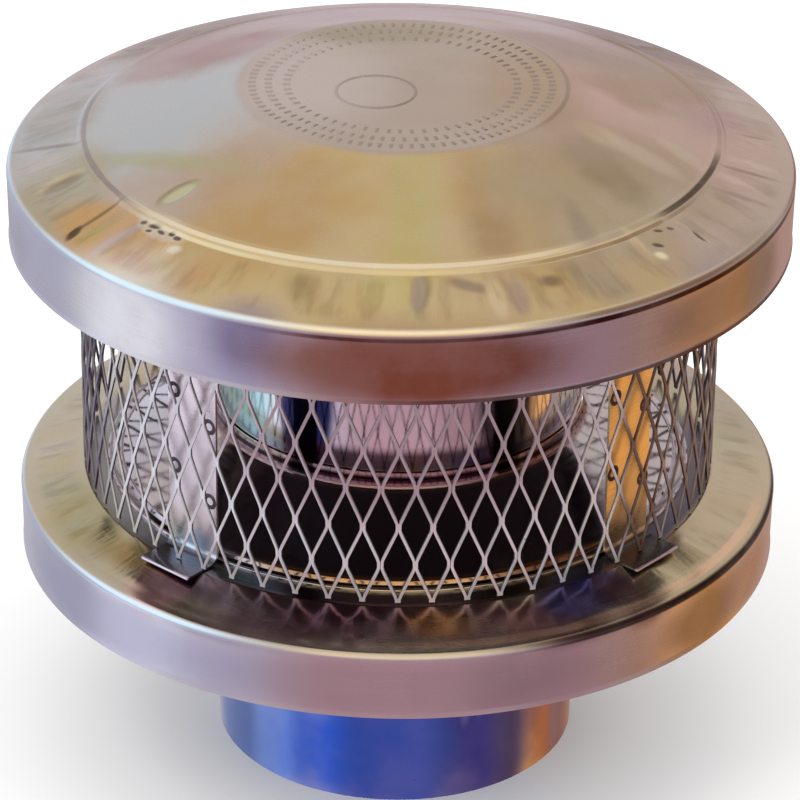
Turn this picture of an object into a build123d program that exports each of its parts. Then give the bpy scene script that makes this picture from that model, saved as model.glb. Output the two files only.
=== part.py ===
from build123d import *
import os
from math import ceil, cos, hypot, radians, sin, tan

os.makedirs("parts", exist_ok=True)

# Ventilation cap for a round 6 inch flue: a spun roof over a spun base, four bent straps between them,
# a screen of expanded metal round the gap and a flue tube through the middle.
# Millimetres, +Z up, origin on the axis at the bottom edge of the flue tube.
# Azimuth 0 is +X and the front of the cap is -Y.

# Sheet
sheet = 0.6                    # stainless sheet of the spun and rolled pieces
strap_sheet = 1.0              # heavier sheet of the legs
seat_gap = 0.1                 # room where a flat or pointed piece meets a curved one

# Roof
cap_radius = 160.0
cap_skirt = 31.0               # height of the rolled-down rim
cap_band_rise = 10.6           # from the rim up to the crease
cap_crease_radius = 128.5
cap_cone_rise = 20.4           # from the crease up to the flat disc
cap_disc_radius = 66.0
cap_rim_height = 262.4         # top of the rim above the bottom of the flue tube

# Base
base_radius = 158.0
base_skirt = 29.0
base_rim_height = 120.2
base_band_rise = 6.6           # from the rim up to the flat ledge
base_ledge_radius = 132.0      # outer edge of the flat ledge
base_hole_radius = 112.0
rim_bend = 2.5                 # width of the bend where a skirt turns down

# Cone that carries the flue tube
cone_foot_radius = 121.5
cone_rise = 23.0
collar_height = 7.0            # upright collar round the tube, folded double

# Flue tube
tube_radius = 76.6             # outside of the riser
tube_top = 204.0               # height of the open upper end
spigot_radius = 75.8           # outside of the drawn-down end, slips into a 152.4 mm liner
spigot_length = 96.0
spigot_shoulder = 4.0          # height of the taper above the spigot

# Legs
leg_names = ("leg_front_right", "leg_back_right", "leg_back_left", "leg_front_left")
leg_turn = 3.5                 # turn of the four legs away from the diagonals, degrees
leg_width = 26.0
leg_clearance = 0.5            # from the foot of the cone to the upright strap
leg_reach = 18.0               # how far the foot and the head run outwards
leg_bend = 2.0                 # outer radius of both bends

# Expanded metal screen
screen_radius = 131.0          # middle of the metal, at the folds
screen_metal = 1.2             # thickness of the metal
screen_meshes = 60             # diamonds around
screen_pitch = 16.9            # height of half a diamond
screen_turn = 0.25             # turn of the column of bonds at the front, degrees
bond_width = 2.1
bond_height = 4.8

# Heights and slopes that follow
cap_crease_height = cap_rim_height + cap_band_rise
cap_top_height = cap_crease_height + cap_cone_rise
cap_band_slope = cap_band_rise / (cap_radius - rim_bend - cap_crease_radius)
cap_cone_slope = cap_cone_rise / (cap_crease_radius - cap_disc_radius)
ledge_height = base_rim_height + base_band_rise
foot_top = ledge_height + strap_sheet
leg_radius = cone_foot_radius + leg_clearance
head_radius = leg_radius + leg_reach


def inner_side(outline, thickness):
    """Return the other side of a sheet whose one side is the outline, with mitred corners."""
    normals = []
    for (r1, z1), (r2, z2) in zip(outline, outline[1:]):
        length = hypot(r2 - r1, z2 - z1)
        normals.append(((z2 - z1) / length, (r1 - r2) / length))
    before = normals[:1] + normals
    after = normals + normals[-1:]
    side = []
    for (r, z), (ar, az), (br, bz) in zip(outline, before, after):
        mitre = thickness / (1 + ar * br + az * bz)
        side.append((r + mitre * (ar + br), z + mitre * (az + bz)))
    return side


def spun(points):
    """Revolve a closed half section, given as radius and height, about the axis."""
    return revolve(Plane.XZ * make_face(Polyline(*points, close=True)), Axis.Z)


def spun_sheet(outline, thickness):
    """Revolve a sheet whose outer side is the outline, read from the axis outwards."""
    return spun(outline + inner_side(outline, thickness)[::-1])


def roof_underside(radius):
    """Height of the roof's lower side at a radius."""
    if radius < cap_crease_radius:
        slope = cap_cone_slope
    else:
        slope = cap_band_slope
    top = cap_crease_height - (radius - cap_crease_radius) * slope
    return top - sheet * hypot(1, slope)


# The head of a leg is one flat strip, so only its side edges come near the round roof.
head_radii = (leg_radius, cap_crease_radius, head_radius)
head_edge_heights = {r: roof_underside(hypot(r, leg_width / 2)) for r in head_radii}
head_slope = (head_edge_heights[leg_radius] - head_edge_heights[head_radius]) / leg_reach
head_height = min(z + (r - leg_radius) * head_slope for r, z in head_edge_heights.items()) - seat_gap


def head_top(radius):
    """Height of the upper face of a leg's head at a radius."""
    return head_height - (radius - leg_radius) * head_slope


def make_top_cap():
    """Roof: flat disc, cone, flatter outer band and a skirt rolled down at the rim."""
    outline = [
        (0, cap_top_height),
        (cap_disc_radius, cap_top_height),
        (cap_crease_radius, cap_crease_height),
        (cap_radius - rim_bend, cap_rim_height),
        (cap_radius, cap_rim_height - rim_bend),
        (cap_radius, cap_rim_height - cap_skirt),
    ]
    return spun_sheet(outline, sheet)


def make_base_plate():
    """Base: flat ledge for the feet and the cone, sloping band and a skirt that sheds water."""
    outline = [
        (base_hole_radius, ledge_height),
        (base_ledge_radius, ledge_height),
        (base_radius - rim_bend, base_rim_height),
        (base_radius, base_rim_height - rim_bend),
        (base_radius, base_rim_height - base_skirt),
    ]
    return spun_sheet(outline, sheet)


def make_flue_cone():
    """Cone from the ledge up to the tube, with a collar folded double at its neck."""
    collar_inside = tube_radius + seat_gap
    collar_outside = collar_inside + 2 * sheet
    neck_height = ledge_height + cone_rise
    slope = cone_rise / (cone_foot_radius - collar_outside)
    foot_inside = cone_foot_radius - sheet * hypot(1, slope) / slope
    return spun([
        (cone_foot_radius, ledge_height),
        (collar_outside, neck_height),
        (collar_outside, neck_height + collar_height),
        (collar_inside, neck_height + collar_height),
        (collar_inside, ledge_height + (foot_inside - collar_inside) * slope),
        (foot_inside, ledge_height),
    ])


def make_flue_tube():
    """Rolled tube: a riser inside the screen, drawn down to a spigot below the base."""
    outline = [
        (tube_radius, tube_top),
        (tube_radius, spigot_length + spigot_shoulder),
        (spigot_radius, spigot_length),
        (spigot_radius, 0),
    ]
    return spun_sheet(outline, sheet)


def make_leg():
    """Strap bent at both ends, lying along +X: foot on the ledge, head under the roof."""
    back = [
        (head_radius, ledge_height),
        (leg_radius, ledge_height),
        (leg_radius, head_top(leg_radius)),
        (head_radius, head_top(head_radius)),
    ]
    face = inner_side(back, strap_sheet)
    back_line = FilletPolyline(*back, radius=leg_bend)
    face_line = FilletPolyline(*face, radius=leg_bend - strap_sheet)
    foot_end = Line(back[0], face[0])
    head_end = Line(back[-1], face[-1])
    section = make_face([back_line, head_end, face_line, foot_end])
    return extrude(Plane.XZ * section, amount=leg_width / 2, both=True)


def make_screen():
    """Expanded metal: flat zigzag strips from fold to fold, mitred, cut level and joined at their bonds."""
    fold_angle = 180 / screen_meshes
    chord_distance = screen_radius * cos(radians(fold_angle / 2))
    half_chord = screen_radius * sin(radians(fold_angle / 2))
    overrun = screen_metal * tan(radians(fold_angle / 2))

    # The lowest tips stand on the feet of the legs, and the last row is cut level under their heads.
    half_bond = bond_width / 2
    run = 2 * half_chord - half_bond
    bottom = foot_top + seat_gap
    top = head_top(screen_radius + screen_metal / 2) - strap_sheet * hypot(1, head_slope) - seat_gap
    last_row = ceil((top - bottom) / screen_pitch)
    strand_slope = (screen_pitch - bond_height / 2) / run
    tip = half_bond * strand_slope
    edge = half_chord + overrun
    mouth = bond_height / 2 - overrun * strand_slope
    end_reach = tip + overrun * strand_slope

    outlines = {-1: [], 1: []}
    for row in range(last_row + 1):
        height = bottom + tip + row * screen_pitch
        side = -1 if row % 2 == 0 else 1
        below = end_reach if row == 0 else mouth
        above = end_reach if row == last_row else mouth
        outlines[side] += [(side * edge, height - below), (side * edge, height + above)]
        if 0 < row < last_row:
            outlines[-side].append((side * (half_chord - half_bond), height))
    zigzag = make_face(Polyline(*outlines[-1], *outlines[1][::-1], close=True))

    chord_plane = Plane(origin=(chord_distance, 0, 0), x_dir=(0, 1, 0), z_dir=(1, 0, 0))
    strip = extrude(chord_plane * zigzag, amount=screen_metal / 2, both=True)
    strip = split(strip, bisect_by=Plane.XY.offset(top), keep=Keep.BOTTOM)
    strip = Rot(0, 0, fold_angle / 2) * strip
    next_fold = Plane(origin=(0, 0, 0), z_dir=(-sin(radians(fold_angle)), cos(radians(fold_angle)), 0))
    strip = split(strip, bisect_by=Plane.XZ, keep=Keep.BOTTOM)
    strip = split(strip, bisect_by=next_fold, keep=Keep.BOTTOM)
    column = strip + mirror(strip, about=Plane.XZ)
    columns = [Rot(0, 0, screen_turn - 90 + 2 * fold_angle * i) * column for i in range(screen_meshes)]
    return columns[0].fuse(*columns[1:])


pieces = {
    "top_cap": make_top_cap(),
    "base_plate": make_base_plate(),
    "flue_cone": make_flue_cone(),
    "flue_tube": make_flue_tube(),
    "spark_screen": make_screen(),
}
leg = make_leg()
for number, name in enumerate(leg_names):
    azimuth = -45 + 90 * number + leg_turn
    pieces[name] = Rot(0, 0, azimuth) * leg

for name, piece in pieces.items():
    export_step(piece, f"parts/{name}.step")
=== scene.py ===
from math import atan2, cos, hypot, pi, radians, sin, tan, tau

import bmesh
import bpy
import numpy as np
from mathutils import Matrix, Vector


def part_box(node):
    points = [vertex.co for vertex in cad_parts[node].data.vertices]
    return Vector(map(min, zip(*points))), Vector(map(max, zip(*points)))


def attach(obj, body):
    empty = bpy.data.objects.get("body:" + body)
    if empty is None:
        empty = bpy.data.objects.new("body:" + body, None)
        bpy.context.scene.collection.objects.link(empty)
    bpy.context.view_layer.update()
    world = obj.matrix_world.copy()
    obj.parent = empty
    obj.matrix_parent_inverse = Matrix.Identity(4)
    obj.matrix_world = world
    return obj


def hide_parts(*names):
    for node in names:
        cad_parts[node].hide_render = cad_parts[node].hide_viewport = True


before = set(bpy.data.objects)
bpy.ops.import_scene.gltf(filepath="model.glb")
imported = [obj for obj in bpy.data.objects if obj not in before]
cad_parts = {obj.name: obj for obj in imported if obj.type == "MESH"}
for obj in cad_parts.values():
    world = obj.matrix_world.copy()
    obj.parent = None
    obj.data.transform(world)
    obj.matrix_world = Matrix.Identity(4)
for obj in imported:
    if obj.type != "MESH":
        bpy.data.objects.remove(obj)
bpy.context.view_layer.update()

# Round-top chimney cap of spun stainless sheet with an expanded metal screen.
# Metres, +Z up, origin on the axis at the bottom edge of the flue tube, front towards -Y.

mm = 0.001
poleRadius = 0.05  # millimetres; a smaller ring is one point on the axis
mergeDistance = 1e-7
white = (1, 1, 1, 1)


def paint(red, green, blue):  # hundredths as seen on a screen, turned into the linear values of the shaders
    return tuple(pow(channel / 100, 2.2) for channel in (red, green, blue)) + (1.0,)


def bentLine(corners, steps=7):  # corners are (radius, height, bend radius); bends become arcs
    line = []
    for index, (r, z, bend) in enumerate(corners):
        here = Vector((r, z))
        if bend == 0 or index in (0, len(corners) - 1):
            line.append((r, z))
            continue
        before = (Vector(corners[index - 1][:2]) - here).normalized()
        after = (Vector(corners[index + 1][:2]) - here).normalized()
        half = before.angle(after) / 2
        centre = here + (before + after).normalized() * bend / sin(half)
        start = here + before * bend / tan(half) - centre
        end = here + after * bend / tan(half) - centre
        first = atan2(start.y, start.x)
        sweep = (atan2(end.y, end.x) - first + pi) % tau - pi
        for step in range(steps + 1):
            angle = first + sweep * step / steps
            line.append((centre.x + bend * cos(angle), centre.y + bend * sin(angle)))
    return line


def spread(line, longest):  # extra points on long straight stretches
    full = [line[0]]
    for (r1, z1), (r2, z2) in zip(line, line[1:]):
        parts = max(1, round(hypot(r2 - r1, z2 - z1) / longest))
        full += [(r1 + (r2 - r1) * k / parts, z1 + (z2 - z1) * k / parts) for k in range(1, parts + 1)]
    return full


def lineNormals(line):  # left-hand normals of a line read from the axis outwards and down
    points = np.array(line)
    along = np.gradient(points, axis=0)
    along[0], along[-1] = points[1] - points[0], points[-1] - points[-2]
    along /= np.linalg.norm(along, axis=1)[:, None]
    return np.stack([-along[:, 1], along[:, 0]], axis=1)


def makeObject(name, vertices, faces, sharpAngle=35):
    mesh = bpy.data.meshes.new(name)
    mesh.from_pydata([tuple(v) for v in vertices], [], faces)
    shell = bmesh.new()
    shell.from_mesh(mesh)
    bmesh.ops.remove_doubles(shell, verts=shell.verts, dist=mergeDistance)
    bmesh.ops.recalc_face_normals(shell, faces=shell.faces)
    shell.to_mesh(mesh)
    shell.free()
    mesh.shade_smooth()
    mesh.set_sharp_from_angle(angle=radians(sharpAngle))
    piece = bpy.data.objects.new(name, mesh)
    bpy.context.scene.collection.objects.link(piece)
    return piece


def spunSheet(name, line, thickness, segments, relief=None):
    # line is the outer side in millimetres; the sheet lies on its inner side and relief moves both sides
    outer = np.array(line)
    normals = lineNormals(line)
    rings = np.concatenate([outer, (outer - normals * thickness)[::-1]])
    pushes = np.concatenate([normals, normals[::-1]])
    rings[:, 0] = np.maximum(rings[:, 0], 0)
    turn = np.arange(segments) * tau / segments
    vertices, ringStart = [], []
    for (r, z), (pushR, pushZ) in zip(rings, pushes):
        ringStart.append(len(vertices))
        if r < poleRadius:
            lift = relief(np.zeros(1), np.zeros(1), z)[0] if relief else 0
            vertices.append((0, 0, (z + pushZ * lift) * mm))
            continue
        lift = relief(np.full(segments, r), turn, z) if relief else np.zeros(segments)
        radius, height = (r + pushR * lift) * mm, (z + pushZ * lift) * mm
        vertices += list(zip(radius * np.cos(turn), radius * np.sin(turn), height))
    ringStart.append(len(vertices))
    sizes = np.diff(ringStart)
    pairs = list(zip(range(len(rings)), range(1, len(rings))))
    if sizes[0] > 1:
        pairs.append((len(rings) - 1, 0))
    faces = []
    for first, second in pairs:
        a, b = ringStart[first], ringStart[second]
        if sizes[first] == 1 and sizes[second] == 1:
            continue
        for k in range(segments):
            following = (k + 1) % segments
            if sizes[first] == 1:
                faces.append((a, b + k, b + following))
            elif sizes[second] == 1:
                faces.append((a + k, b, a + following))
            else:
                faces.append((a + k, b + k, b + following, a + following))
    return makeObject(name, vertices, faces)


def waves(turn, slowest, fastest, seed):  # smooth uneven ripple round the axis, between about -1 and 1
    chance = np.random.default_rng(seed)
    counts = np.arange(slowest, fastest + 1)
    sizes = chance.normal(size=len(counts))
    starts = chance.uniform(0, tau, len(counts))
    total = sum(s * np.sin(c * turn + p) for s, c, p in zip(sizes, counts, starts))
    return total / np.sqrt((sizes ** 2).sum() / 2)


def bump(x, y, mark):  # soft oval mound or dent: centre, half length, half width, turn in degrees, height
    centreX, centreY, length, width, turned, height = mark
    c, s = cos(radians(turned)), sin(radians(turned))
    u = ((x - centreX) * c + (y - centreY) * s) / length
    v = ((y - centreY) * c - (x - centreX) * s) / width
    return height * np.exp(-(u * u + v * v) ** 2)


def window(r, low, high, soft):  # 1 between two radii, fading over a soft edge
    return np.clip((r - low) / soft, 0, 1) * np.clip((high - r) / soft, 0, 1)


def feed(tree, socket, value):  # a socket is joined to another socket or set to a number
    if isinstance(value, bpy.types.NodeSocket):
        tree.links.new(value, socket)
    else:
        socket.default_value = value


def addNode(tree, kind, inputs=(), **settings):  # inputs are named or numbered
    node = tree.nodes.new(kind)
    for key, value in settings.items():
        setattr(node, key, value)
    for key, value in dict(inputs).items():
        feed(tree, node.inputs[key], value)
    return node


def maths(tree, operation, *values):
    return addNode(tree, "ShaderNodeMath", dict(enumerate(values)), operation=operation).outputs[0]


def vectorMaths(tree, operation, *values, output=0):
    return addNode(tree, "ShaderNodeVectorMath", dict(enumerate(values)), operation=operation).outputs[output]


def ease(tree, value, low, high, start=0.0, end=1.0):
    inputs = {"Value": value, "From Min": low, "From Max": high, "To Min": start, "To Max": end}
    return addNode(tree, "ShaderNodeMapRange", inputs, interpolation_type="SMOOTHSTEP").outputs["Result"]


def blendColours(tree, factor, first, second, mode="MIX"):
    inputs = {0: factor, 6: first, 7: second}
    return addNode(tree, "ShaderNodeMix", inputs, data_type="RGBA", blend_type=mode).outputs[2]


def noiseValue(tree, vector, scale, detail=2.0, roughness=0.5):
    inputs = {"Vector": vector, "Scale": scale, "Detail": detail, "Roughness": roughness}
    return addNode(tree, "ShaderNodeTexNoise", inputs).outputs[0]


def splitVector(tree, vector):
    return addNode(tree, "ShaderNodeSeparateXYZ", {0: vector}).outputs


def turnBack(tree, vector, angle):  # a vector turned back about the axis
    inputs = {"Vector": vector, "Angle": angle}
    return addNode(tree, "ShaderNodeVectorRotate", inputs, rotation_type="Z_AXIS", invert=True).outputs[0]


def startGroup(name, inputs, outputs):
    tree = bpy.data.node_groups.new(name, "ShaderNodeTree")
    for label, kind, value in inputs:
        socket = tree.interface.new_socket(label, in_out="INPUT", socket_type="NodeSocket" + kind)
        socket.default_value = value
    for label, kind in outputs:
        tree.interface.new_socket(label, in_out="OUTPUT", socket_type="NodeSocket" + kind)
    return tree, addNode(tree, "NodeGroupInput").outputs, addNode(tree, "NodeGroupOutput").inputs


def useGroup(tree, label, **values):
    return addNode(tree, "ShaderNodeGroup", values, node_tree=groups[label]).outputs


def objectPoint(tree):
    return addNode(tree, "ShaderNodeTexCoord").outputs["Object"]


softEdges = {  # where the masks begin and end
    "arcSide": (0.5, 1.1), "arcEnd": (0.6, 1.0), "rings": (0.3, 0.7), "haze": (0.35, 0.68),
    "specks": (0.8, 0.84), "folds": (0.46, 0.64), "bandInner": (0.0, 0.006), "bandOuter": (0.0, 0.005),
}
tintSockets = [
    ("Point", "Vector", (0, 0, 0)), ("Under", "Color", white), ("Patch", "Color", white),
    ("Wander", "Float", 0.0), ("Drift", "Float", 0.2), ("Strength", "Float", 1.0),
]


def layTint(tree, given, wanted, mask):  # the patch's tint over the one under it, by mask and strength
    share = maths(tree, "MULTIPLY", mask, given["Strength"])
    feed(tree, wanted["Color"], blendColours(tree, share, given["Under"], given["Patch"]))


def makePatchGroup():  # a cloud of another tint on the metal; the looks use it mostly for painted reflections, highlights and shade
    tree, given, wanted = startGroup(
        "tintPatch",
        tintSockets + [("Centre", "Vector", (0, 0, 0)), ("Reach", "Vector", (1, 1, 1)), ("Turn", "Float", 0.0),
                       ("Edge", "Float", 0.5)],
        [("Color", "Color")])
    # each node is made before the one that it feeds, which keeps the stack of Cycles small
    offset = vectorMaths(tree, "SUBTRACT", given["Point"], given["Centre"])
    turned = turnBack(tree, offset, given["Turn"])
    distance = vectorMaths(tree, "LENGTH", vectorMaths(tree, "DIVIDE", turned, given["Reach"]), output="Value")
    moved = maths(tree, "MULTIPLY_ADD", given["Wander"], given["Drift"], distance)
    inside, outside = maths(tree, "SUBTRACT", 1.0, given["Edge"]), maths(tree, "ADD", 1.0, given["Edge"])
    layTint(tree, given, wanted, ease(tree, moved, inside, outside, 1.0, 0.0))
    return tree


def makeArcGroup():  # another tint along part of a circle round the axis, between two heights; the looks use it for painted highlights, reflections and shade along rims, creases and beads
    tree, given, wanted = startGroup(
        "arcTint",
        tintSockets + [("Radius", "Float", 0.1), ("Half Width", "Float", 0.002), ("Height", "Float", 0.1),
                       ("Half Height", "Float", 0.002), ("Azimuth", "Float", 0.0), ("Spread", "Float", 1.0)],
        [("Color", "Color")])
    point = splitVector(tree, given["Point"])
    flat = vectorMaths(tree, "MULTIPLY", given["Point"], (1, 1, 0))
    radius = vectorMaths(tree, "LENGTH", flat, output="Value")
    parts = []
    for value, middle, half in ((radius, "Radius", "Half Width"), (point[2], "Height", "Half Height")):
        off = maths(tree, "ABSOLUTE", maths(tree, "SUBTRACT", value, given[middle]))
        parts.append(maths(tree, "DIVIDE", off, given[half]))
    away = maths(tree, "MULTIPLY_ADD", given["Wander"], given["Drift"], maths(tree, "MAXIMUM", *parts))
    ahead = splitVector(tree, turnBack(tree, flat, given["Azimuth"]))
    azimuth = maths(tree, "ABSOLUTE", maths(tree, "ARCTAN2", ahead[1], ahead[0]))
    aside = maths(tree, "DIVIDE", azimuth, given["Spread"])
    across = ease(tree, away, *softEdges["arcSide"], 1.0, 0.0)
    along = ease(tree, aside, *softEdges["arcEnd"], 1.0, 0.0)
    layTint(tree, given, wanted, maths(tree, "MULTIPLY", across, along))
    return tree


def makeSpinGroup():  # faint rings left by the spinning tool, with a fine grain along them
    tree, given, wanted = startGroup("spinMarks", [("Rings", "Float", 900.0), ("Grain", "Float", 0.3)],
                                     [("Height", "Float"), ("Shade", "Float")])
    x, y, z = splitVector(tree, objectPoint(tree))
    radius = maths(tree, "SQRT", maths(tree, "ADD", maths(tree, "POWER", x, 2.0), maths(tree, "POWER", y, 2.0)))
    place = addNode(tree, "ShaderNodeCombineXYZ")
    feed(tree, place.inputs[0], maths(tree, "MULTIPLY", radius, given["Rings"]))
    feed(tree, place.inputs[1], maths(tree, "MULTIPLY", z, given["Rings"]))
    feed(tree, place.inputs[2], maths(tree, "MULTIPLY", maths(tree, "ARCTAN2", y, x), given["Grain"]))
    rings = noiseValue(tree, place.outputs[0], 1.0, 2.0, 0.6)
    feed(tree, wanted["Height"], rings)
    feed(tree, wanted["Shade"], ease(tree, rings, *softEdges["rings"]))
    return tree


def makeSmudgeGroup():  # hazy smears and small dark specks
    tree, given, wanted = startGroup(
        "smudges", [("Scale", "Float", 30.0), ("Speck Size", "Float", 260.0), ("Specks", "Float", 0.1)],
        [("Haze", "Float"), ("Specks", "Float")])
    point = objectPoint(tree)
    haze = noiseValue(tree, point, given["Scale"], 5.0, 0.6)
    feed(tree, wanted["Haze"], ease(tree, haze, *softEdges["haze"]))
    dots = noiseValue(tree, point, given["Speck Size"], 2.0, 0.5)
    low, high = softEdges["specks"]
    feed(tree, wanted["Specks"], ease(tree, dots, maths(tree, "SUBTRACT", low, given["Specks"]), high))
    return tree


def makeCreaseGroup():  # soft radial creases in the band where a rim was turned down, with painted shade along them
    tree, given, wanted = startGroup(
        "radialCreases", [("Count", "Float", 14.0), ("Inner", "Float", 0.13), ("Outer", "Float", 0.156)],
        [("Shade", "Float"), ("Height", "Float")])
    flat = vectorMaths(tree, "MULTIPLY", objectPoint(tree), (1, 1, 0))
    radius = vectorMaths(tree, "LENGTH", flat, output="Value")
    place = vectorMaths(tree, "MULTIPLY", vectorMaths(tree, "NORMALIZE", flat), given["Count"])
    fork = vectorMaths(tree, "MULTIPLY", flat, (24, 24, 0))  # they are not quite straight
    place = vectorMaths(tree, "ADD", place, fork)
    folds = noiseValue(tree, place, 1.0, 3.0, 0.6)
    fromInner = ease(tree, maths(tree, "SUBTRACT", radius, given["Inner"]), *softEdges["bandInner"])
    fromOuter = ease(tree, maths(tree, "SUBTRACT", given["Outer"], radius), *softEdges["bandOuter"])
    band = maths(tree, "MULTIPLY", fromInner, fromOuter)
    feed(tree, wanted["Shade"], maths(tree, "MULTIPLY", ease(tree, folds, *softEdges["folds"]), band))
    feed(tree, wanted["Height"], maths(tree, "MULTIPLY", folds, band))
    return tree


groups = {"patch": makePatchGroup(), "arc": makeArcGroup(), "spin": makeSpinGroup(),
          "smudges": makeSmudgeGroup(), "creases": makeCreaseGroup()}


def tintArcs(tree, colour, point, wander, arcs):
    for tint, radius, halfWidth, height, halfHeight, azimuth, spread, drift, strength in arcs:
        values = {"Point": point, "Under": colour, "Patch": paint(*tint), "Wander": wander,
                  "Radius": radius * mm, "Half Width": halfWidth * mm, "Height": height * mm,
                  "Half Height": halfHeight * mm, "Azimuth": radians(azimuth), "Spread": radians(spread),
                  "Drift": drift, "Strength": strength}
        colour = useGroup(tree, "arc", **values)["Color"]
    return colour


def addBump(tree, strength, distance):
    return addNode(tree, "ShaderNodeBump", {"Strength": strength, "Distance": distance})


def makeSteel(name, look):  # a ground tint under arcs and patches, mostly painted reflections, highlights and shade, then creases in painted shade, haze and specks, with a fine relief
    material = bpy.data.materials.new(name)
    material.use_nodes = True
    tree = material.node_tree
    shader = tree.nodes["Principled BSDF"]
    point = objectPoint(tree)
    wander = maths(tree, "SUBTRACT", noiseValue(tree, point, look["wanderScale"], 3.0), 0.5)
    colour = tintArcs(tree, paint(*look["tint"]), point, wander, look["underArcs"])
    for tint, centre, reach, turned, edge, drift, strength in look["patches"]:
        colour = useGroup(tree, "patch", Point=point, Under=colour, Patch=paint(*tint), Wander=wander,
                          Centre=[c * mm for c in centre], Reach=[r * mm for r in reach], Turn=radians(turned),
                          Edge=edge, Drift=drift, Strength=strength)["Color"]
    colour = tintArcs(tree, colour, point, wander, look["arcs"])
    marks = useGroup(tree, "smudges", Scale=look["hazeScale"], Specks=look["specks"])
    spin = useGroup(tree, "spin", Rings=look["rings"], Grain=look["grain"])
    if look["creases"]:
        count, inner, outer, creaseShadeTint, creaseShare, creaseRelief = look["creases"]
        creased = useGroup(tree, "creases", Count=count, Inner=inner * mm, Outer=outer * mm)
        # painted shade: the colour is darkened along the creases
        colour = blendColours(tree, maths(tree, "MULTIPLY", creased["Shade"], creaseShare), colour,
                              blendColours(tree, 1.0, colour, paint(*creaseShadeTint), "MULTIPLY"))
    for mark, share, tint in (("Haze", "hazeTint", "hazeColour"), ("Specks", "speckTint", "speckColour")):
        factor = maths(tree, "MULTIPLY", marks[mark], look[share])
        colour = blendColours(tree, factor, colour, paint(*look[tint]))
    feed(tree, shader.inputs["Base Color"], colour)
    shader.inputs["Metallic"].default_value = look["metallic"]
    roughness = maths(tree, "MULTIPLY_ADD", marks["Haze"], look["hazeRoughness"], look["roughness"])
    roughness = maths(tree, "MULTIPLY_ADD", spin["Shade"], look["ringRoughness"], roughness)
    feed(tree, shader.inputs["Roughness"], roughness)
    relief = addBump(tree, look["relief"], look["ringDepth"])
    feed(tree, relief.inputs["Height"], spin["Height"])
    dimples = addBump(tree, look["unevenness"], look["dimpleDepth"])
    feed(tree, dimples.inputs["Height"], noiseValue(tree, objectPoint(tree), look["unevenScale"], 2.0))
    feed(tree, dimples.inputs["Normal"], relief.outputs["Normal"])
    normal = dimples.outputs["Normal"]
    if look["creases"]:
        folds = addBump(tree, creaseRelief, look["dimpleDepth"])
        feed(tree, folds.inputs["Height"], creased["Height"])
        feed(tree, folds.inputs["Normal"], normal)
        normal = folds.outputs["Normal"]
    feed(tree, shader.inputs["Normal"], normal)
    return material


plainLook = {  # tints are red, green and blue in hundredths, here and in all looks
    "tint": (86, 82, 78), "roughness": 0.22, "metallic": 1.0,
    "hazeScale": 22.0, "hazeTint": 0.12, "hazeColour": (78, 74, 72), "hazeRoughness": 0.1,
    "specks": 0.0, "speckTint": 0.7, "speckColour": (20, 17, 16),
    "rings": 900.0, "grain": 0.8, "ringRoughness": 0.05, "relief": 0.03, "ringDepth": 0.0001,
    "unevenness": 0.1, "unevenScale": 60.0, "dimpleDepth": 0.001, "wanderScale": 34.0,
    "patches": [],  # tint, centre, reach, turn, edge, drift, strength
    "underArcs": [],  # tint, radius, half width, height, half height, azimuth, spread, drift, strength
    "arcs": [],
    "creases": None,  # count, inner and outer radius, tint of the painted shade, share, relief
}
dullShadedLook = {**plainLook, "tint": (50, 47, 46), "roughness": 0.34, "hazeRoughness": 0.14}
dullShadedSteel = makeSteel("dullShadedSteel", dullShadedLook)  # painted shade: the sides that face down or in towards the axis, rougher as the spinner never polished them, and darker


def makeRingTree():
    tree = bpy.data.node_groups.new("ringOfCopies", "GeometryNodeTree")
    sockets = {}
    for label, kind, value in (("Geometry", "Geometry", None), ("Piece", "Object", None), ("Count", "Int", 60),
                               ("First Angle", "Float", 0.0), ("Unevenness", "Float", 0.0), ("Seed", "Int", 3),
                               ("Metal", "Material", None)):
        sockets[label] = tree.interface.new_socket(label, in_out="INPUT", socket_type="NodeSocket" + kind)
        if value is not None:
            sockets[label].default_value = value
    tree.interface.new_socket("Geometry", in_out="OUTPUT", socket_type="NodeSocketGeometry")
    given = addNode(tree, "NodeGroupInput").outputs
    points = addNode(tree, "GeometryNodePoints", {"Count": given["Count"]})
    step = maths(tree, "DIVIDE", tau, given["Count"])
    limits = {2: -1.0, 3: 1.0}
    chance = addNode(tree, "FunctionNodeRandomValue", {"Seed": given["Seed"], **limits}, data_type="FLOAT")
    index = addNode(tree, "GeometryNodeInputIndex").outputs[0]
    turn = maths(tree, "MULTIPLY_ADD", index, step, given["First Angle"])
    turn = maths(tree, "MULTIPLY_ADD", chance.outputs[1], given["Unevenness"], turn)
    around = addNode(tree, "ShaderNodeCombineXYZ", {2: turn})
    source = addNode(tree, "GeometryNodeObjectInfo", {"Object": given["Piece"]})
    copies = addNode(tree, "GeometryNodeInstanceOnPoints", {
        "Points": points.outputs[0], "Instance": source.outputs["Geometry"], "Rotation": around.outputs[0]})
    real = addNode(tree, "GeometryNodeRealizeInstances", {0: copies.outputs[0]})
    metal = addNode(tree, "GeometryNodeSetMaterial", {"Geometry": real.outputs[0], "Material": given["Metal"]})
    addNode(tree, "NodeGroupOutput", {0: metal.outputs[0]})
    return tree, {label: socket.identifier for label, socket in sockets.items()}


ringTree, ringInputs = makeRingTree()


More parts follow.
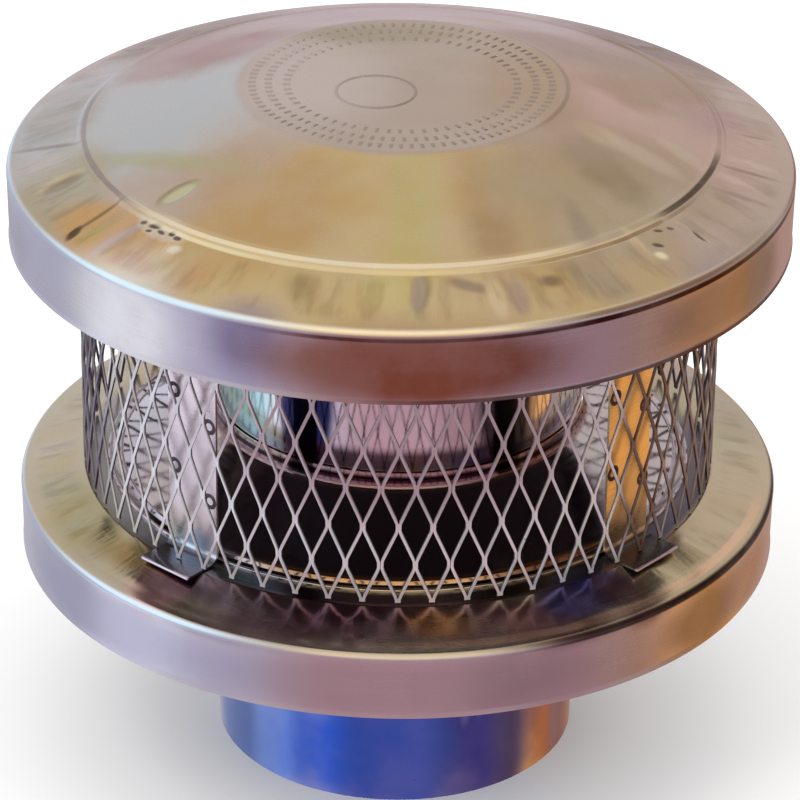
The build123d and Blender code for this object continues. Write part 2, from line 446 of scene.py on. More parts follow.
def ringOfCopies(name, piece, count, firstAngle, material, unevenness=0.0, seed=3):
    host = bpy.data.objects.new(name + "Maker", bpy.data.meshes.new(name + "Maker"))
    bpy.context.scene.collection.objects.link(host)
    maker = host.modifiers.new("ringOfCopies", "NODES")
    maker.node_group = ringTree
    for label, value in (("Piece", piece), ("Count", count), ("First Angle", firstAngle),
                         ("Unevenness", unevenness), ("Seed", seed), ("Metal", material)):
        maker[ringInputs[label]] = value
    bpy.context.view_layer.update()
    graph = bpy.context.evaluated_depsgraph_get()
    mesh = bpy.data.meshes.new_from_object(host.evaluated_get(graph))
    host.modifiers.remove(maker)
    bpy.data.objects.remove(host)
    bpy.data.objects.remove(piece)
    mesh.name = name
    made = bpy.data.objects.new(name, mesh)
    bpy.context.scene.collection.objects.link(made)
    return made


def joinMeshes(name, pieces):  # several finished pieces of one metal become one
    whole = bmesh.new()
    for piece in pieces:
        whole.from_mesh(piece.data)
    mesh = pieces[0].data.copy()
    whole.to_mesh(mesh)
    whole.free()
    mesh.name = name
    made = bpy.data.objects.new(name, mesh)
    bpy.context.scene.collection.objects.link(made)
    for piece in pieces:
        bpy.data.objects.remove(piece)
    return made


def lineInside(piece, material):  # the inner side of a sheet gets its own finish: rougher, and darker with painted shade
    piece.data.materials.append(material)
    for face in piece.data.polygons:
        outwards = Vector((face.center.x, face.center.y, 0)).normalized()
        if face.normal.z + 0.6 * face.normal.dot(outwards) < -0.2:  # it looks down or towards the axis
            face.material_index = len(piece.data.materials) - 1


def dress(piece, slot, *nodes, metal=None, lined=False):  # rides on the one body and stands for its solids
    if metal:
        piece.data.materials.append(metal)
    if lined:
        lineInside(piece, dullShadedSteel)
    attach(piece, "root")
    if nodes:
        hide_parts(*nodes)
    print(f"{piece.name}: {len(piece.data.polygons)} faces")


lipSink = 0.35  # a skirt stands back by this above its flared edge
stepLength = 2.6  # longest step along the sheet of roof and base
capLow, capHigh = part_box("top_cap")
roof = {
    "radius": capHigh.x / mm,
    "top": capHigh.z / mm,
    "bottom": capLow.z / mm,
    "sheet": 0.6,
    "discRadius": 66.0,
    "discSink": 0.4,  # the marks on the disc stand this high at most
    "discBend": 7.0,
    "creaseRadius": 128.5,
    "creaseHeight": 273.0,
    "creaseLine": [(-3.6, 0.0, 1.5), (-1.6, 0.5, 1.8), (1.6, 0.5, 1.8), (3.0, -0.1, 1.0)],  # out, up, bend
    "coneSlope": 0.326,
    "bandSlope": 0.37,
    "rimHeight": 261.5,  # corner of band and skirt, before its bend
    "rimBend": 3.4,
    "lip": 2.4,  # height of the flared lower edge
    "segments": 400,
    "topAbove": 255.0,  # ripples and dents above this height, the skirt's lean below the next
    "skirtBelow": 258.0,
    "ripple": 0.24,
    "coneWaves": (0.22, 0.12),
    "dents": [  # x, y, half length, half width, turn, height, all in millimetres and degrees
        (-86.7, -73.5, 9.0, 4.0, 32, -0.8),
        (-134.2, -45.4, 8.4, 4.4, 20, -0.8),
        (-118.5, -79.0, 10.5, 6.0, 30, -0.7),
        (-87.4, -108.2, 3.6, 3.0, 0, 0.5),
        (100.6, -104.1, 3.4, 2.8, 0, 0.5),
        (7.6, -138.6, 6.0, 5.0, 80, -0.35),
        (26.5, -134.8, 5.5, 5.0, 70, -0.35),
        (41.6, -135.5, 5.0, 4.6, 65, -0.35),
        (-60.0, -126.0, 11.0, 6.0, 30, 0.3),
        (115.8, -85.0, 3.6, 1.8, -40, -0.5),
        (120.0, -20.0, 22.0, 9.0, 75, -0.3),
        (-128.0, 20.0, 18.0, 6.0, 95, 0.3),
    ],
    "padHeight": 0.45,
    "padRadii": (127.5, 138.5),
    "padWidth": 11.5,
    "padEdge": 1.8,
    "ridgeEnd": 155.5,
    "ridgeWidth": 2.6,
    "ridgeHeight": 0.55,
    "pads": [(-134.0, -140.0), (-43.0, -47.0), (47.8, 44.0), (137.6, 141.0)],  # azimuths of pad and ridge
}


def padShape(r, turn):  # four flats pressed up by the heads of the legs, each with a ridge out to the rim
    low, high = roof["padRadii"]
    lift = np.zeros_like(turn)
    for azimuths in roof["pads"]:
        fromPad, fromRidge = [np.abs((turn - radians(a) + pi) % tau - pi) * r for a in azimuths]
        pad = window(r, low, high, roof["padEdge"]) * np.clip((roof["padWidth"] - fromPad) / 2.0, 0, 1)
        ridge = window(r, high - 1, roof["ridgeEnd"], 4) * np.exp(-(fromRidge / roof["ridgeWidth"]) ** 2)
        lift = lift + pad * roof["padHeight"] + ridge * roof["ridgeHeight"]
    return lift


def skirtRelief(turn, seed):  # a rolled skirt is never quite true; it only leans inwards from the drawn size
    lean, most = 0.05, 2.2
    return -lean * (most + np.clip(waves(turn, 3, 14, seed), -most, most))


def roofRelief(r, turn, z):
    x, y = r * np.cos(turn), r * np.sin(turn)
    onTop = z > roof["topAbove"]
    band = window(r, roof["creaseRadius"] + 2, 157, 6) * onTop
    cone = window(r, roof["discRadius"] + 2, roof["creaseRadius"] - 2, 14)
    lift = band * roof["ripple"] * (0.55 + 0.45 * waves(turn, 1, 3, 5)) * waves(turn, 18, 46, 11)
    long, short = roof["coneWaves"]
    lift = lift + cone * (long * waves(turn, 4, 9, 21) * np.sin(r / 17.0) + short * waves(turn, 9, 20, 8))
    for mark in roof["dents"]:
        lift = lift + bump(x, y, mark) * onTop
    return lift + padShape(r, turn) * onTop + (z < roof["skirtBelow"]) * skirtRelief(turn, 2)


def makeRoof():
    disc = roof["top"] - roof["discSink"]
    slopes = [roof["coneSlope"] if out < 0 else roof["bandSlope"] for out, up, bend in roof["creaseLine"]]
    line = bentLine([
        (0, disc, 0),
        (roof["discRadius"], disc, roof["discBend"]),
        *[(roof["creaseRadius"] + out, roof["creaseHeight"] - out * slope + up, bend)
          for (out, up, bend), slope in zip(roof["creaseLine"], slopes)],
        (roof["radius"], roof["rimHeight"], roof["rimBend"]),
        (roof["radius"] - lipSink, roof["bottom"] + roof["lip"], 1.0),
        (roof["radius"], roof["bottom"], 0),
    ])
    return spunSheet("roofSheet", spread(line, stepLength), roof["sheet"], roof["segments"], roofRelief)


roofLook = {
    **plainLook,
    "tint": (78, 71, 67), "roughness": 0.19, "hazeRoughness": 0.09, "hazeTint": 0.22, "hazeScale": 26.0,
    "hazeColour": (84, 80, 78),
    "patches": [
        # painted reflections of the room on cone and band: gold, tan, olive and orange in front, mauve, brown
        # and blue-grey at the sides and back
        ((78, 70, 71), (0, 112, 275), (120, 40, 60), 0, 0.4, 0.8, 0.9),
        ((72, 60, 52), (92, 62, 275), (36, 60, 60), -35, 0.4, 0.8, 0.8),
        ((80, 68, 64), (108, -6, 275), (38, 50, 60), 0, 0.4, 0.8, 0.9),
        ((79, 79, 80), (-104, 12, 275), (58, 66, 60), -10, 0.25, 0.8, 0.95),
        ((68, 57, 60), (122, 18, 270), (14, 26, 30), 0, 0.5, 0.9, 0.6),
        ((86, 72, 71), (80, 17, 280), (22, 28, 30), 0, 0.6, 0.9, 0.6),
        ((66, 50, 49), (-67, 50, 283), (28, 22, 30), 0, 0.5, 1, 0.9),
        ((57, 49, 44), (-87, 108, 268), (38, 18, 30), 39, 0.5, 0.8, 1),
        ((48, 35, 25), (101, 104, 268), (42, 21, 30), -45, 0.5, 0.6, 1),
        ((63, 49, 42), (65, 55, 284), (28, 22, 30), 0, 0.5, 1, 0.9),
        ((76, 60, 44), (34, 86, 280), (18, 8, 30), -20, 0.5, 1, 0.7),
        ((68, 48, 48), (-70, 63, 283), (18, 5, 30), 30, 0.5, 0.8, 0.8),
        ((84, 74, 54), (6, -132, 275), (104, 84, 60), 0, 0.1, 0.5, 0.95),
        ((76, 60, 41), (-54, -88, 280), (34, 34, 30), 0, 0.5, 1, 0.65),
        ((72, 70, 50), (-87, -53, 280), (36, 5, 20), 152, 0.8, 0.8, 0.6),
        ((80, 76, 50), (5, -104, 280), (9, 46, 40), 0, 0.6, 0.6, 0.7),
        ((74, 60, 46), (34, -96, 280), (10, 40, 40), 12, 0.7, 0.8, 0.5),
        ((78, 68, 54), (74, -92, 280), (36, 28, 40), 30, 0.4, 0.9, 0.8),
        ((74, 69, 59), (72, -82, 280), (40, 32, 30), -40, 0.5, 1.2, 0.75),
        ((71, 65, 55), (101, -46, 278), (26, 18, 30), -30, 0.5, 1.2, 0.75),
        ((62, 55, 45), (80, -58, 283), (22, 10, 20), -47, 0.5, 1.2, 0.6),
        ((82, 76, 68), (112, -30, 276), (14, 4, 20), -38, 0.5, 0.8, 0.6),
        ((60, 54, 48), (70, -98, 280), (15, 5, 20), -70, 0.5, 0.9, 0.5),
        ((70, 60, 45), (35, -108, 278), (9, 14, 20), 10, 0.6, 0.9, 0.55),
        ((73, 68, 56), (-136, -52, 268), (20, 34, 20), -20, 0.4, 0.6, 0.8),
        ((84, 66, 44), (-111, -92, 268), (15, 30, 20), 38, 0.3, 0.5, 0.9),
        ((82, 54, 32), (-103.5, -108.9, 265), (11.5, 4.6, 20), -46, 0.4, 0.5, 0.95),
        # painted shade and highlights that outline the dents, the left pad and its ridge
        ((52, 48, 32), (-87, -73.2, 285), (10.4, 4.8, 20), 32, 0.15, 0.3, 0.7),
        ((82, 80, 66), (-86.4, -73.6, 285), (9, 3.6, 20), 32, 0.3, 0.4, 1),
        ((84, 80, 68), (-135, -43.4, 268), (9.4, 4.2, 20), 20, 0.3, 0.4, 0.8),
        ((62, 55, 48), (-134, -45.8, 268), (8.6, 3.4, 20), 20, 0.4, 0.4, 0.9),
        ((48, 40, 26), (-118.4, -75.8, 268), (12.6, 1, 20), 33, 0.5, 0.5, 0.75),
        ((30, 25, 18), (-127, -82.8, 268), (4.6, 1.9, 20), 56, 0.4, 0.4, 0.9),
        ((80, 68, 42), (-119, -86, 268), (7.6, 5, 20), 32, 0.3, 0.4, 0.9),
        ((80, 71, 70), (-110, -94.2, 268), (13, 2.4, 20), 32, 0.3, 0.3, 0.95),
        ((90, 83, 76), (-91.4, -93.2, 270), (13, 6.4, 20), -44, 0.2, 0.5, 0.9),
        # dark burnt spots of the spot welds on the left pad
        ((16, 13, 11), (-99.3, -87.7, 270), (1.8, 1.3, 20), -40, 0.4, 1.2, 0.9),
        ((10, 8, 8), (-94.8, -91.9, 270), (3.2, 1.4, 20), -30, 0.4, 1.6, 0.95),
        ((14, 11, 10), (-97.2, -93.6, 270), (1.6, 0.9, 20), -30, 0.4, 1.6, 0.9),
        ((16, 12, 10), (-92.2, -96.2, 270), (2, 0.9, 20), -50, 0.4, 1.6, 0.9),
        ((12, 9, 9), (-87.8, -98.6, 270), (1.5, 1.2, 20), -30, 0.4, 1.4, 0.95),
        ((12, 10, 10), (-85.7, -101.6, 270), (1.7, 1, 20), -30, 0.4, 1.4, 0.9),
        # painted glow and glint on the left pad's weld
        ((96, 86, 70), (-90, -108.5, 270), (6, 4.2, 20), 30, 0.6, 0.6, 0.7),
        ((100, 98, 92), (-86.7, -107.5, 270), (2.6, 1.9, 20), 0, 0.6, 0.6, 1),
        # painted highlights along the right pad's edges
        ((88, 79, 64), (92, -100.5, 270), (10, 2.2, 20), -52, 0.4, 0.4, 0.9),
        ((86, 76, 66), (114, -83.6, 270), (11, 1.2, 20), -28, 0.4, 0.4, 0.7),
        # dark burnt spots of the spot welds on the right pad
        ((32, 24, 10), (99.6, -89.3, 270), (2, 0.9, 20), 20, 0.4, 1.2, 0.9),
        ((34, 22, 12), (104.5, -85.9, 270), (1.6, 0.9, 20), 20, 0.4, 1.2, 0.85),
        ((24, 12, 8), (99.2, -97.4, 270), (2.4, 1, 20), 10, 0.4, 1.4, 0.9),
        # painted glint on the right pad's weld, painted shade in the dent beside it, painted reflections on the
        # cone to the right
        ((100, 96, 84), (100.2, -103.2, 270), (2.6, 2.2, 20), 0, 0.6, 0.6, 1),
        ((30, 24, 18), (115.8, -85, 268), (3.4, 0.9, 20), -40, 0.5, 0.6, 0.9),
        ((84, 78, 68), (78.6, -33.6, 288), (10, 5, 20), -25, 0.5, 1.2, 0.5),
        ((86, 79, 74), (97, -41, 280), (17, 5, 20), -35, 0.5, 1.2, 0.5),
        # painted reflections and shade on the dented front band and along the radial wrinkles at its sides
        ((85, 80, 52), (-4, -139, 268), (10, 9, 12), 0, 0.6, 0.8, 0.6),
        ((54, 46, 37), (8, -140.5, 268), (10, 3.6, 12), 82, 0.4, 1, 0.6),
        ((74, 66, 61), (6.8, -140.2, 268), (8.4, 2.6, 12), 86, 0.4, 0.9, 0.8),
        ((58, 49, 40), (26, -135, 268), (7.5, 2.6, 12), -12, 0.6, 0.6, 0.8),
        ((92, 84, 68), (36.7, -140, 268), (10, 3.2, 12), 104, 0.4, 0.4, 0.8),
        ((70, 62, 56), (45, -138, 268), (9, 3.6, 12), 104, 0.4, 0.5, 0.8),
        ((54, 45, 38), (57, -128, 268), (4.6, 3, 12), 20, 0.6, 0.6, 0.8),
        ((70, 64, 54), (76, -125, 268), (14, 9, 12), -30, 0.5, 0.8, 0.7),
        ((70, 61, 43), (-37.6, -137, 268), (6, 9, 12), 16, 0.6, 0.9, 0.7),
        ((80, 60, 40), (-80, -124, 268), (10, 7, 12), 32, 0.6, 0.6, 0.6),
        ((54, 50, 45), (-143, -10.5, 268), (16, 1.5, 12), -22, 0.6, 0.6, 0.75),
        ((82, 77, 74), (-144.6, -24.4, 268), (13, 5.5, 12), -8, 0.5, 0.6, 0.8),
        ((54, 47, 40), (139, -27.8, 268), (12, 1.3, 12), 7, 0.6, 0.6, 0.75),
        ((56, 48, 44), (143.2, 8.2, 268), (6, 1.1, 12), 20, 0.6, 0.6, 0.7),
        ((66, 58, 58), (133.3, -49.4, 268), (12, 1.5, 12), 0, 0.6, 0.6, 0.7),
        ((86, 78, 75), (141, -19.5, 268), (10, 2.4, 12), 6, 0.6, 0.6, 0.7),
        ((86, 78, 77), (134, -37, 268), (8, 3.2, 12), 4, 0.6, 0.6, 0.7),
        # painted reflections at the back
        ((66, 56, 46), (104, 40, 275), (30, 40, 40), -30, 0.3, 1.2, 0.8),
        ((72, 58, 56), (-92, 58, 280), (26, 30, 20), 30, 0.3, 1.2, 0.7),
        ((70, 66, 62), (-138, 20, 270), (16, 30, 20), 0, 0.3, 1.2, 0.6),
        # painted reflections on the skirt: lavender-grey ground, a bright spot at the front left, reddish-brown
        # in front
        ((90, 89, 93), (0, 0, 246), (900, 900, 14.8), 0, 0.03, 0, 1),
        ((99, 99, 98), (-108, -118, 246), (30, 30, 20), 0, 0.5, 0.2, 1),
        ((57, 52, 67), (-58, -149, 252), (15, 12, 15), 0, 0.7, 0.3, 0.8),
        ((64, 43.5, 33), (8, -160, 246), (58, 30, 16), 0, 0.4, 0.3, 1),
        ((62, 61, 70), (122, -103, 246), (28, 28, 15), 0, 0.5, 0.3, 0.95),
        ((74, 72, 73), (-160, 4, 246), (22, 60, 16), 0, 0.5, 0.3, 0.9),
        ((64, 58, 49), (140, -78, 246), (20, 22, 16), 0, 0.5, 0.4, 0.9),
        # painted reflections on the flat disc
        ((74.5, 67.5, 64), (0, 0, 294), (67.5, 67.5, 30), 0, 0.03, 0.04, 1),
        ((84, 79, 80), (-40, 4, 294), (30, 44, 20), 0, 0.6, 1, 0.7),
        ((72, 61, 51), (52, -4, 294), (20, 46, 20), 0, 0.6, 1, 0.7),
        ((66, 61, 53), (-12, 50, 294), (34, 9, 20), 0, 0.5, 1.2, 0.7),
    ],
    # the creases are darkened with painted shade
    "creases": (11.0, 131, 156.5, (86, 84, 82), 0.65, 0.35),
    "arcs": [
        # painted highlights and shade along the crease, the disc's edge, the rim's bend and the lip: light
        # where they face bright parts of the room, dark lines under the rim and along the lip
        ((86, 76, 58), 125.4, 1.6, 273, 9, -100, 50, 0.5, 0.5),
        ((100, 94, 82), 127.7, 1.6, 273, 9, -100, 52, 0.5, 1),
        ((95, 86, 68), 130.4, 1.6, 273, 9, -90, 60, 0.8, 0.8),
        ((56, 49, 50), 128.4, 1.3, 273, 9, -170, 30, 0.8, 0.7),
        ((26, 19, 9), 128.4, 1.5, 273, 9, -24, 18, 0.5, 0.95),
        ((62, 50, 46), 128.4, 1.2, 273, 9, 40, 60, 0.8, 0.6),
        ((58, 50, 46), 66.8, 1.1, 293, 9, 20, 70, 0.8, 0.6),
        ((100, 95, 86), 158.3, 1.7, 260.9, 1.5, -76, 54, 0.2, 0.95),
        ((22, 10, 5), 159.9, 1.6, 258.5, 1.4, -36, 42, 0.1, 1),
        ((30, 13, 8), 160, 1.6, 258.2, 1, -76, 38, 0.1, 0.9),
        ((90, 95, 100), 158.8, 1.8, 260.7, 1.7, -150, 52, 0, 0.85),
        ((30, 16, 16), 160, 2, 231.9, 1.3, -40, 62, 0, 0.85),
        ((98, 98, 100), 160, 2, 232, 1.4, -140, 40, 0, 0.7),
    ],
}

dress(makeRoof(), "roof_steel", "top_cap", metal=makeSteel("roofSteel", roofLook), lined=True)


stamp = {
    "rings": [(60.5, 92, 3.4, 1.7), (54.0, 80, 3.4, 1.7), (46.5, 62, 3.4, 1.7)],  # radius, count, length, width
    "height": 0.36,
    "sunk": 0.02,
    "chamfer": 0.55,
    "unevenness": 0.006,
    "hoop": (-10.5, -8.0, 16.0),  # centre x, centre y, radius
    "hoopProfile": [(-0.75, -0.1), (-0.75, 0.01), (-0.25, 0.36), (0.25, 0.36), (0.75, 0.01), (0.75, -0.1)],
    "hoopSegments": 96,
}


def makeTick(radius, length, width):
    disc = roof["top"] - roof["discSink"]
    corners = []
    for height, shrink in ((disc - stamp["sunk"], 0.0), (disc + stamp["height"], stamp["chamfer"])):
        halfLength, halfWidth = length / 2 - shrink, width / 2 - shrink
        corners += [((radius + a * halfLength) * mm, b * halfWidth * mm, height * mm)
                    for a, b in ((-1, -1), (1, -1), (1, 1), (-1, 1))]
    faces = [(0, 3, 2, 1), (4, 5, 6, 7)] + [(k, (k + 1) % 4, 4 + (k + 1) % 4, 4 + k) for k in range(4)]
    return makeObject("tick", corners, faces, 20)


def carryRound(profile, count, place):  # a closed profile carried once round: its vertices and faces
    wide = len(profile)
    vertices = [place(tau * k / count, a, b) for k in range(count) for a, b in profile]
    faces = []
    for k in range(count):
        here, there = k * wide, (k + 1) % count * wide
        faces += [(here + j, there + j, there + (j + 1) % wide, here + (j + 1) % wide) for j in range(wide)]
    return vertices, faces


def makeHoop():  # the plain ring in the middle of the disc
    x, y, radius = stamp["hoop"]
    disc = roof["top"] - roof["discSink"]

    def place(angle, a, b):
        r = radius + a
        return (x + r * cos(angle)) * mm, (y + r * sin(angle)) * mm, (disc + b) * mm

    return makeObject("hoop", *carryRound(stamp["hoopProfile"], stamp["hoopSegments"], place), 50)


baseLow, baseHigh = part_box("base_plate")
base = {
    "radius": baseHigh.x / mm,
    "ledge": baseHigh.z / mm,
    "bottom": baseLow.z / mm,
    "sheet": 0.6,
    "holeRadius": 112.0,
    "ledgeRadius": 132.0,
    "rimHeight": 119.55,
    "rimBend": 3.2,
    "lip": 2.2,
    "segments": 480,
    "skirtBelow": 116.0,
    "ripple": 0.26,
    "dents": [
        (-20.0, -146.0, 14.0, 4.0, 10, -0.25),
        (60.0, -132.0, 12.0, 4.0, -20, -0.3),
    ],
}


def baseRelief(r, turn, z):
    x, y = r * np.cos(turn), r * np.sin(turn)
    onTop = z > base["rimHeight"] - 3
    lift = window(r, base["ledgeRadius"] + 1, 155, 5) * onTop * base["ripple"] * waves(turn, 14, 40, 17)
    for mark in base["dents"]:
        lift = lift + bump(x, y, mark) * onTop * window(r, base["ledgeRadius"], 156, 4)
    return lift + (z < base["skirtBelow"]) * skirtRelief(turn, 4)


def makeBase():
    line = bentLine([
        (base["holeRadius"], base["ledge"], 0),
        (base["ledgeRadius"], base["ledge"], 5.0),
        (base["radius"], base["rimHeight"], base["rimBend"]),
        (base["radius"] - lipSink, base["bottom"] + base["lip"], 1.0),
        (base["radius"], base["bottom"], 0),
    ])
    return spunSheet("baseSheet", spread(line, stepLength), base["sheet"], base["segments"], baseRelief)


baseLook = {
    **plainLook,
    "tint": (94, 92, 93), "roughness": 0.17, "specks": 0.03, "hazeColour": (90, 88, 88),
    "patches": [
        # painted reflections on ledge and band: olive, with dark brown and purple in front near the screen,
        # amber and blue spots
        ((80, 74, 64), (0, 0, 126), (900, 900, 7.6), 0, 0.1, 0, 1),
        ((68, 64, 48), (-128, -60, 123), (14, 40, 12), 20, 0.5, 0.8, 0.7),
        ((62, 50, 28), (-104, -92, 125), (16, 8, 12), -40, 0.5, 0.8, 0.8),
        ((74, 62, 60), (132, 58, 122), (24, 40, 12), 20, 0.4, 0.8, 0.85),
        ((84, 78, 62), (116, -92, 122), (14, 14, 12), -40, 0.5, 0.8, 0.8),
        ((78, 70, 50), (60, 130, 122), (70, 40, 12), 0, 0.5, 0.8, 0.7),
        ((72, 72, 60), (132, 40, 122), (30, 40, 12), 0, 0.5, 0.9, 0.6),
        ((54, 40, 41), (0, -138, 125), (112, 14, 10), 0, 0.4, 0.5, 0.9),
        ((100, 76, 75), (-92, -112, 124), (18, 11, 10), 45, 0.5, 0.5, 0.85),
        ((38, 34, 58), (80, -108, 124), (20, 10, 10), -30, 0.5, 0.5, 0.9),
        ((72, 53, 53), (50, -135, 124), (14, 8, 10), 20, 0.5, 0.5, 0.9),
        ((46, 34, 40), (-66, -118, 125), (32, 13, 10), -30, 0.5, 0.5, 0.9),
        ((46, 32, 40), (-18, -139, 125), (40, 9, 10), -6, 0.6, 0.5, 0.8),
        ((90, 58, 20), (17, -141, 125), (13, 8, 10), 0, 0.6, 0.8, 0.6),
        ((34, 32, 66), (74, -117, 125), (20, 11, 10), 34, 0.5, 0.6, 0.85),
        ((48, 34, 30), (96, -118, 122), (20, 10, 8), -40, 0.5, 0.5, 0.8),
        # painted reflections on the skirt
        ((83, 80, 81), (0, -158, 104), (90, 30, 14), 0, 0.5, 0.4, 0.9),
        ((84, 72, 54), (140, -74, 104), (20, 40, 14), 0, 0.5, 0.4, 0.9),
        ((60, 56, 54), (124, -97, 104), (24, 24, 14), 0, 0.5, 0.3, 0.95),
        ((81, 81, 88), (-120, -104, 104), (60, 60, 14), 0, 0.5, 0.3, 0.9),
    ],
    # the creases are darkened with painted shade
    "creases": (10.0, 133, 153, (83, 82, 80), 0.7, 0.35),
    "arcs": [
        # painted dark reflection on the ledge under the screen, lighter at the sides, then painted highlights
        # and a dark line of shade along the rim's bend
        ((20, 18, 22), 125.6, 6.6, 127, 2, -90, 74, 0.3, 0.92),
        ((40, 36, 50), 125.6, 6.6, 127, 2, -14, 34, 0.5, 0.85),
        ((66, 66, 70), 125.6, 6.6, 127, 2, -170, 42, 0.5, 0.85),
        ((100, 82, 70), 152.6, 2.4, 121, 1.6, -52, 46, 0.3, 0.6),
        ((18, 8, 4), 157, 2.4, 118.3, 1.8, -32, 44, 0.15, 1),
        ((90, 95, 100), 157, 1.7, 118.4, 1.6, -152, 50, 0, 0.85),
    ],
}

dress(makeBase(), "base_steel", "base_plate", metal=makeSteel("baseSteel", baseLook), lined=True)


coneLow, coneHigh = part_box("flue_cone")
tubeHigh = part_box("flue_tube")[1]
cone = {
    "footRadius": coneHigh.x / mm,
    "foot": coneLow.z / mm,
    "top": coneHigh.z / mm,
    "collarInside": 76.7,
    "collarHeight": 7.0,
    "footLine": [  # two beads at the foot: distance in from its edge, height, bend radius
        (6.4, 2.2, 0.4), (5.4, 2.7, 0.7), (4.4, 0.9, 0.4), (1.8, 0.7, 0.4), (1.0, 1.6, 0.6), (0.1, 1.0, 0.4),
    ],
    "sheet": 0.6,
    "segments": 300,
}


def makeCone():
    outside = cone["collarInside"] + 2 * cone["sheet"]
    neck = cone["top"] - cone["collarHeight"]
    foot, footRadius = cone["foot"], cone["footRadius"]
    line = bentLine([
        (outside - 0.15, cone["top"] - 0.15, 0),
        (outside, cone["top"] - 2.2, 0.5),
        (outside - 0.35, cone["top"] - 3.4, 0.5),
        (outside, neck, 2.5),
        *[(footRadius - inwards, foot + up, bend) for inwards, up, bend in cone["footLine"]],
        (footRadius, foot, 0),
    ])
    return spunSheet("flueCone", spread(line, 3.0), cone["sheet"], cone["segments"])


coneLook = {
    **plainLook,
    "tint": (80, 76, 80), "roughness": 0.07, "hazeRoughness": 0.03, "hazeTint": 0.03,
    # painted dark reflection on the cone in front
    "patches": [((44, 40, 46), (10, -100, 140), (96, 66, 40), 0, 0.15, 0.2, 1.0)],
    "arcs": [
        # painted highlights and shade: light beads at the foot, golden in front and lavender at the sides, a
        # dark line between them, and light and dark bands round the collar
        ((90, 86, 92), 118.6, 4.4, 128, 3, -120, 50, 0.3, 1),
        ((99, 92, 80), 118.6, 4.4, 128, 3, -74, 46, 0.3, 1),
        ((74, 55, 40), 115.6, 2, 129, 1.6, -82, 50, 0.2, 0.9),
        ((30, 22, 18), 118.4, 1.5, 127.6, 1.3, -90, 90, 0, 0.9),
        ((80, 68, 66), 78, 3, 156.2, 1, -90, 400, 0, 1),
        ((26, 12, 13), 78, 3, 153.4, 1.6, -90, 400, 0.2, 0.95),
        ((66, 54, 56), 78, 4, 150.4, 1.8, -90, 400, 0.2, 1),
    ],
}

dress(makeCone(), "polished_steel", "flue_cone", metal=makeSteel("brightSteel", coneLook))


tube = {
    "radius": tubeHigh.x / mm,
    "top": tubeHigh.z / mm,
    "spigotRadius": 75.8,
    "spigotLength": 96.0,
    "shoulder": 4.0,
    "sheet": 0.6,
    "seamAngle": 100.0,  # the rolled seam faces the back
    "seamWidth": 7.0,
    "seamSink": 0.25,
    "waviness": 0.04,
    "segments": 300,
}


def tubeRelief(r, turn, z):
    away = (turn - radians(tube["seamAngle"]) + pi) % tau - pi
    seam = np.clip((tube["seamWidth"] / 2 - np.abs(away * r)) / 0.8, 0, 1)
    return -tube["seamSink"] * seam - tube["waviness"] + tube["waviness"] * waves(turn, 3, 8, 31)


def makeTube():
    line = bentLine([
        (tube["radius"], tube["top"], 0),
        (tube["radius"], tube["spigotLength"] + tube["shoulder"], 2.0),
        (tube["spigotRadius"], tube["spigotLength"], 2.0),
        (tube["spigotRadius"], 0.0, 0),
    ])
    return spunSheet("flueTube", spread(line, 6.0), tube["sheet"], tube["segments"], tubeRelief)


tubeLook = {
    **plainLook,
    "tint": (100, 98, 100), "roughness": 0.05, "hazeTint": 0.12, "hazeColour": (80, 86, 96),
    "hazeRoughness": 0.05,
    "patches": [
        # painted reflections: blue and brown clouds on the spigot, bright cyan and dark on the riser
        ((40, 52, 78), (-60, -40, 40), (46, 70, 60), 0, 0.4, 0.5, 0.95),
        ((20, 46, 98), (4, -76, 40), (52, 40, 60), 0, 0.5, 0.7, 0.95),
        ((62, 42, 42), (72, -30, 40), (26, 44, 60), 0, 0.35, 0.6, 0.95),
        ((36, 40, 84), (42, -62, 40), (20, 24, 60), 0, 0.4, 0.7, 0.9),
        ((66, 76, 92), (-34, -68, 52), (9, 12, 16), 0, 0.5, 0.8, 0.6),
        ((62, 72, 95), (-60, -46, 52), (8, 12, 20), 0, 0.5, 0.8, 0.5),
        ((84, 78, 98), (14, -75, 56), (6, 6, 7), 0, 0.5, 0.9, 0.6),
        ((66, 72, 100), (29, -70, 50), (2.4, 4, 14), 0, 0.5, 0.6, 0.7),
        ((66, 66, 100), (35, -67, 50), (1.4, 3, 12), 0, 0.5, 0.6, 0.6),
        ((80, 100, 100), (-66, -42, 185), (18, 30, 40), 0, 0.3, 0.3, 0.9),
        ((8, 10, 34), (-38, -68, 185), (12, 16, 40), 0, 0.2, 0.3, 0.97),
        ((12, 8, 9), (44, -64, 185), (13, 16, 40), 0, 0.3, 0.4, 0.96),
    ],
    # painted shade: a dark band near the top of the tube
    "arcs": [((30, 20, 28), 76.6, 3, 158.5, 9.0, -92, 50, 0.3, 0.92)],
}

dress(makeTube(), "tube_steel", "flue_tube", metal=makeSteel("tubeSteel", tubeLook), lined=True)


leg = {
    "names": ("leg_front_right", "leg_back_right", "leg_back_left", "leg_front_left"),
    "turn": 3.5,
    "width": 26.0,
    "radius": 122.0,  # back of the upright strap
    "reach": 18.0,
    "sheet": 1.0,
    "footBend": 5.0,
    "headBend": 2.2,
    "edgeRounding": 0.7,  # upper edge of the foot's end
    "cornerRounding": 0.5,
    "headDrop": 6.3,  # fall of the head over its reach
    "columns": 14,
}


